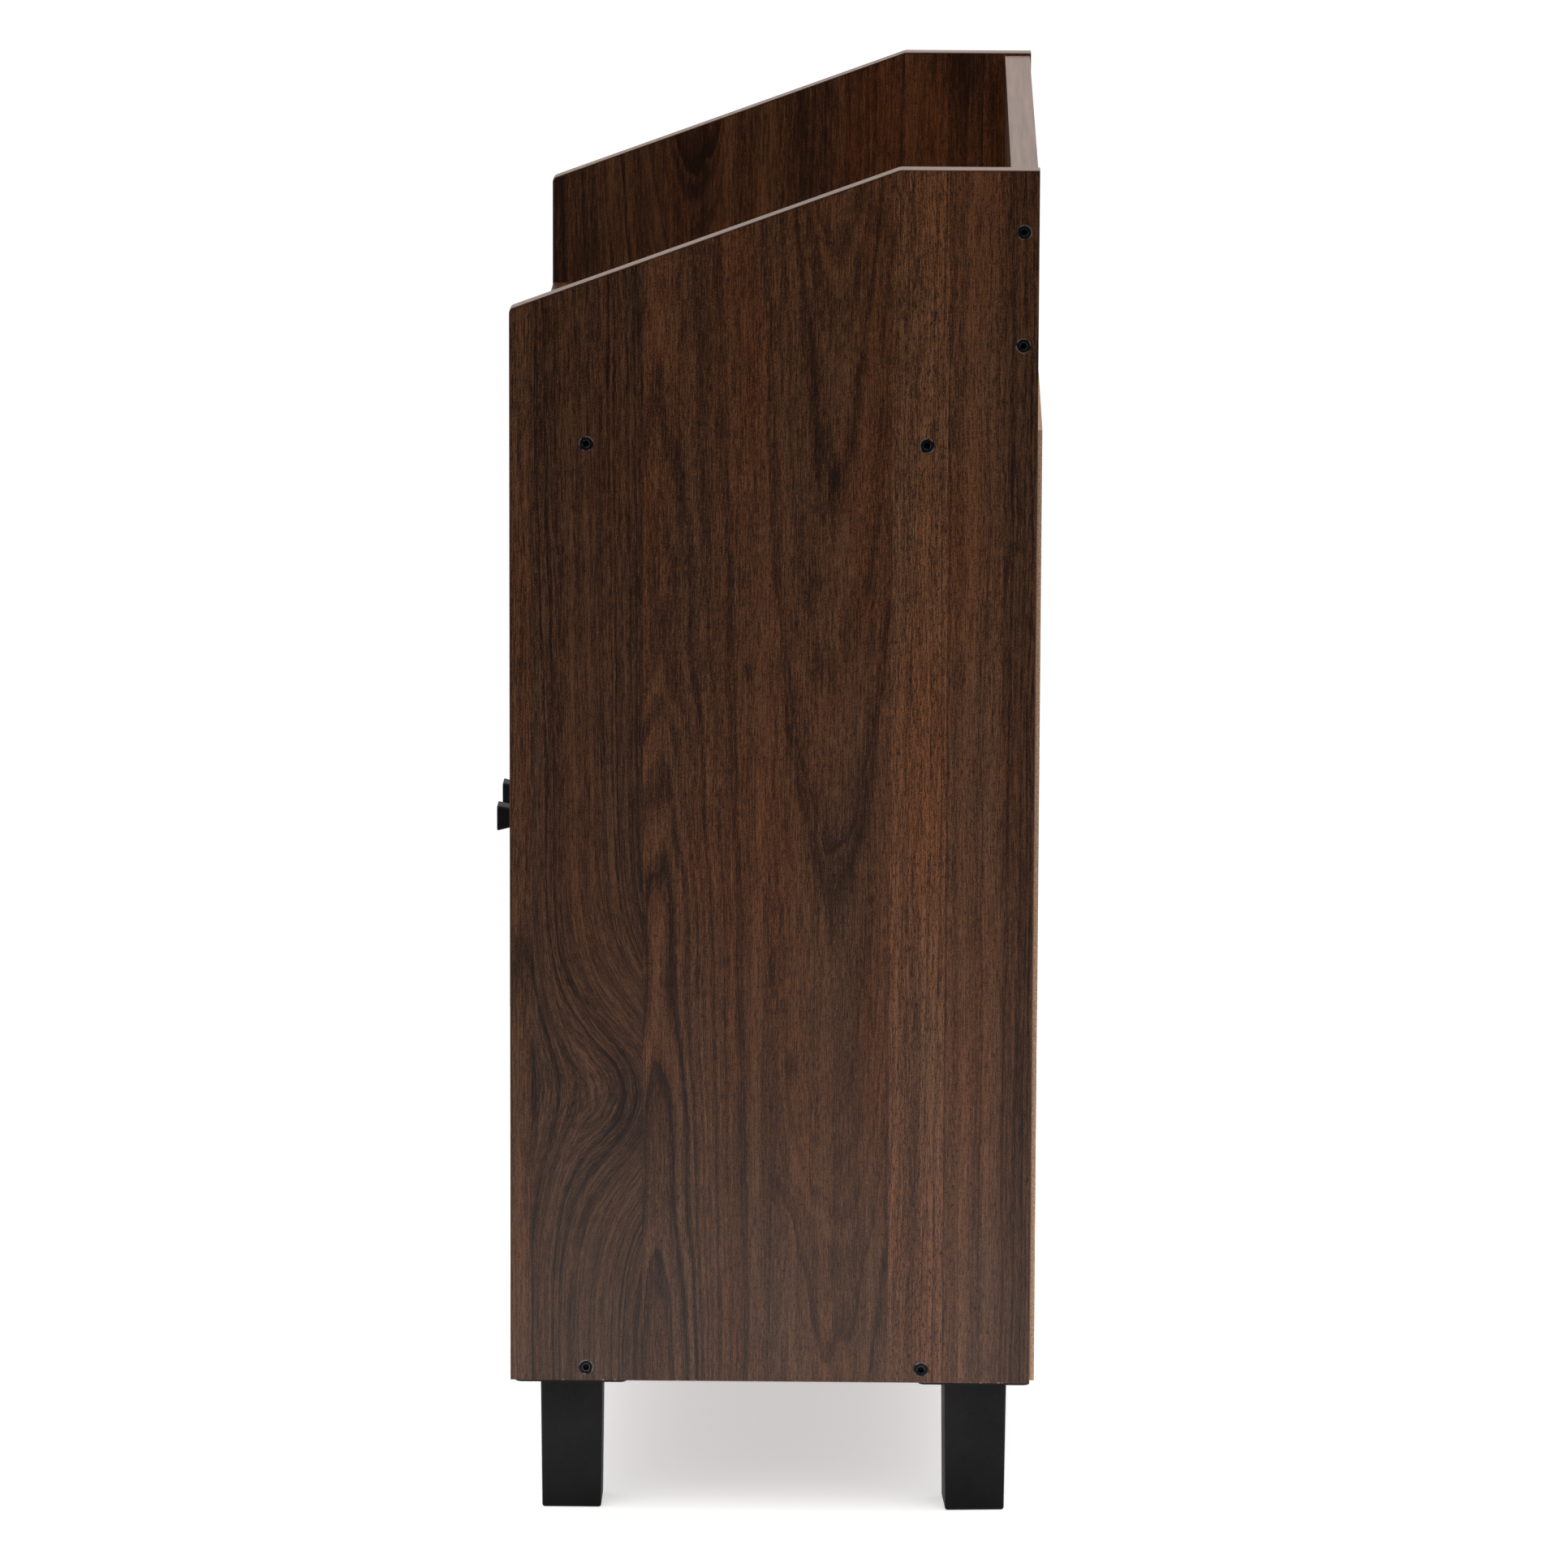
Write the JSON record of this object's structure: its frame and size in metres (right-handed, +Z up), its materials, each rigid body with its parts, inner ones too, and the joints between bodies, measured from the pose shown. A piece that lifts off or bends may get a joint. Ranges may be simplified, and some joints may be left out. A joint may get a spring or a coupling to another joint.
{
  "type": "shoe cabinet",
  "caption": "Walnut-finish shoe cabinet with inset double doors over adjustable shelves, an open gallery top with sloped sides, and short black square legs.",
  "frame": {"origin": "on the floor under the middle of the cabinet's bounding box", "axes": "+Z up, -Y towards the front (the doors), +X towards the cabinet's right side as its front is faced"},
  "size_m": [0.72, 0.376, 0.916],
  "materials": {
    "walnut_laminate": "walnut-print laminate on particle board, satin, vertical grain",
    "edge_band": "walnut-print edge strip, satin",
    "hardboard": "bare brown hardboard",
    "leg_black": "black, satin, fine texture",
    "plate_black": "black powder coat",
    "knob_black": "black, satin",
    "screw_black": "black oxide steel with bright wear on the rims",
    "zinc_steel": "zinc plated",
    "ferrite": "ferrite magnet, dull",
    "catch_plastic": "brown moulded plastic",
    "bush_nylon": "black nylon",
    "beech_dowel": "fluted beech"
  },
  "bodies": {
    "carcass": {"back_panel": "hardboard", "back_panel_nails": "zinc_steel", "bottom_board": "walnut_laminate", "catch_case_left": "catch_plastic", "catch_case_right": "catch_plastic", "catch_magnet_left": "ferrite", "catch_magnet_right": "ferrite", "catch_pole_plates_left": "zinc_steel", "catch_pole_plates_right": "zinc_steel", "catch_screws": "zinc_steel", "edge_band_bottom_board": "edge_band", "edge_band_gallery_back": "edge_band", "edge_band_shelf_lower": "edge_band", "edge_band_shelf_middle": "edge_band", "edge_band_shelf_upper": "edge_band", "edge_band_side_left": "edge_band", "edge_band_side_right": "edge_band", "edge_band_top_board": "edge_band", "gallery_back": "walnut_laminate", "gallery_dowels": "beech_dowel", "leg_front_left": "leg_black", "leg_front_right": "leg_black", "leg_plate_front_left": "plate_black", "leg_plate_front_right": "plate_black", "leg_plate_rear_left": "plate_black", "leg_plate_rear_right": "plate_black", "leg_plate_screws": "zinc_steel", "leg_rear_left": "leg_black", "leg_rear_right": "leg_black", "leg_studs": "zinc_steel", "pivot_bushes_left": "bush_nylon", "pivot_bushes_right": "bush_nylon", "shelf_lower": "walnut_laminate", "shelf_middle": "walnut_laminate", "shelf_pins_lower": "zinc_steel", "shelf_pins_middle": "zinc_steel", "shelf_pins_upper": "zinc_steel", "shelf_upper": "walnut_laminate", "side_dowels": "beech_dowel", "side_panel_left": "walnut_laminate", "side_panel_right": "walnut_laminate", "side_screws_left": "screw_black", "side_screws_right": "screw_black", "top_board": "walnut_laminate"},
    "left_door": {"door_left": "walnut_laminate", "edge_band_door_left": "edge_band", "knob_left": "knob_black", "knob_screw_left": "zinc_steel", "pivot_pins_left": "zinc_steel", "strike_plate_left": "zinc_steel", "strike_screw_left": "zinc_steel"},
    "right_door": {"door_right": "walnut_laminate", "edge_band_door_right": "edge_band", "knob_right": "knob_black", "knob_screw_right": "zinc_steel", "pivot_pins_right": "zinc_steel", "strike_plate_right": "zinc_steel", "strike_screw_right": "zinc_steel"}
  },
  "joints": [
    {"name": "left_door_hinge", "type": "hinge", "parent": "carcass", "child": "left_door", "pos_m": [-0.324, -0.1575, 0.415], "axis": [0, 0, -1], "range_deg": [0, 110]},
    {"name": "right_door_hinge", "type": "hinge", "parent": "carcass", "child": "right_door", "pos_m": [0.324, -0.1575, 0.415], "axis": [0, 0, 1], "range_deg": [0, 110]}
  ]
}
